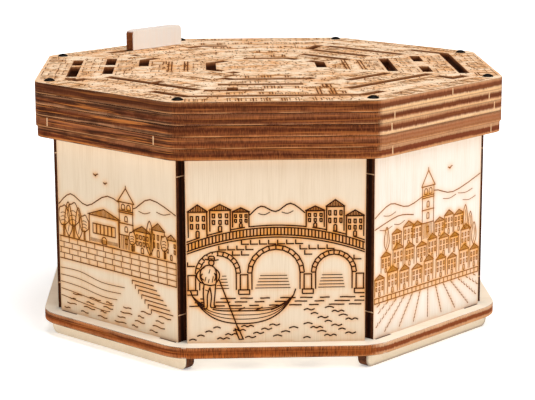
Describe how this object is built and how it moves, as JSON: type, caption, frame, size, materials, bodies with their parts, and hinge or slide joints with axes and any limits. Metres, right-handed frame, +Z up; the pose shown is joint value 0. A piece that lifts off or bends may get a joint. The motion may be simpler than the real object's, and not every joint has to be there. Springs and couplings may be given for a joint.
{
  "type": "wooden puzzle box",
  "caption": "Octagonal plywood puzzle box with engraved walls and a thick layered lid, whose maze key draws locking bolts inside the lid.",
  "frame": {"origin": "centre of the footprint, on the surface the feet stand on", "axes": "+Z up, -Y the front panel, +X to the right seen from the front"},
  "size_m": [0.17, 0.17, 0.103],
  "materials": {
    "wall_ply": "pale birch plywood, engraved and oiled",
    "base_ply": "birch plywood with scorched laser-cut edges",
    "foot_ply": "birch plywood with scorched ends",
    "inner_ply": "plain birch plywood",
    "lid_ply": "scorched laser-cut plywood edges",
    "maze_ply": "densely engraved birch plywood",
    "key_ply": "pale birch plywood",
    "dowel": "plain beech dowel",
    "screw_black": "black lacquered steel, satin",
    "pin_steel": "bright steel"
  },
  "bodies": {
    "box": {"base_plate": "base_ply", "foot_ne": "foot_ply", "foot_nw": "foot_ply", "foot_sw": "foot_ply", "foot_se": "foot_ply", "side_panel_e": "wall_ply", "side_panel_ne": "wall_ply", "side_panel_n": "wall_ply", "side_panel_nw": "wall_ply", "side_panel_w": "wall_ply", "side_panel_sw": "wall_ply", "side_panel_s": "wall_ply", "side_panel_se": "wall_ply", "bottom_frame": "inner_ply", "top_frame": "inner_ply", "keeper_e": "inner_ply", "keeper_n": "inner_ply", "keeper_w": "inner_ply", "keeper_s": "inner_ply"},
    "lid": {"rim_ring": "lid_ply", "floor_plate": "lid_ply", "guide_plate": "lid_ply", "spacer_ring": "lid_ply", "maze_plate": "maze_ply", "lid_screws": "screw_black", "cam_pivot": "dowel", "pivot_cap": "inner_ply"},
    "cam": {"cam_disc": "inner_ply"},
    "key": {"key_grip": "key_ply", "key_pin": "pin_steel", "key_washer": "pin_steel"},
    "bolt_e_body": {"bolt_e": "inner_ply", "bolt_pin_e": "dowel"},
    "bolt_n_body": {"bolt_n": "inner_ply", "bolt_pin_n": "dowel"},
    "bolt_w_body": {"bolt_w": "inner_ply", "bolt_pin_w": "dowel"},
    "bolt_s_body": {"bolt_s": "inner_ply", "bolt_pin_s": "dowel"}
  },
  "joints": [
    {"name": "lid_lift", "type": "slide", "parent": "box", "child": "lid", "axis": [0, 0, 1], "range_m": [0, 0.09]},
    {"name": "cam_turn", "type": "hinge", "parent": "lid", "child": "cam", "pos_m": [0, 0, 0.0884], "axis": [0, 0, 1], "range_deg": [0, 17.85]},
    {"name": "key_slide", "type": "slide", "parent": "lid", "child": "key", "axis": [-0.7071, -0.7071, 0], "range_m": [0, 0.0229]},
    {"name": "bolt_e_slide", "type": "slide", "parent": "lid", "child": "bolt_e_body", "axis": [1, 0, 0], "range_m": [0, 0.0051]},
    {"name": "bolt_n_slide", "type": "slide", "parent": "lid", "child": "bolt_n_body", "axis": [0, 1, 0], "range_m": [0, 0.0051]},
    {"name": "bolt_w_slide", "type": "slide", "parent": "lid", "child": "bolt_w_body", "axis": [-1, 0, 0], "range_m": [0, 0.0051]},
    {"name": "bolt_s_slide", "type": "slide", "parent": "lid", "child": "bolt_s_body", "axis": [0, -1, 0], "range_m": [0, 0.0051]}
  ],
  "couplings": [
    {"joint": "key_slide", "follows": "cam_turn", "m_per_rad": 0.072994},
    {"joint": "bolt_e_slide", "follows": "cam_turn", "m_per_rad": 0.016008},
    {"joint": "bolt_n_slide", "follows": "cam_turn", "m_per_rad": 0.016008},
    {"joint": "bolt_w_slide", "follows": "cam_turn", "m_per_rad": 0.016008},
    {"joint": "bolt_s_slide", "follows": "cam_turn", "m_per_rad": 0.016008}
  ]
}
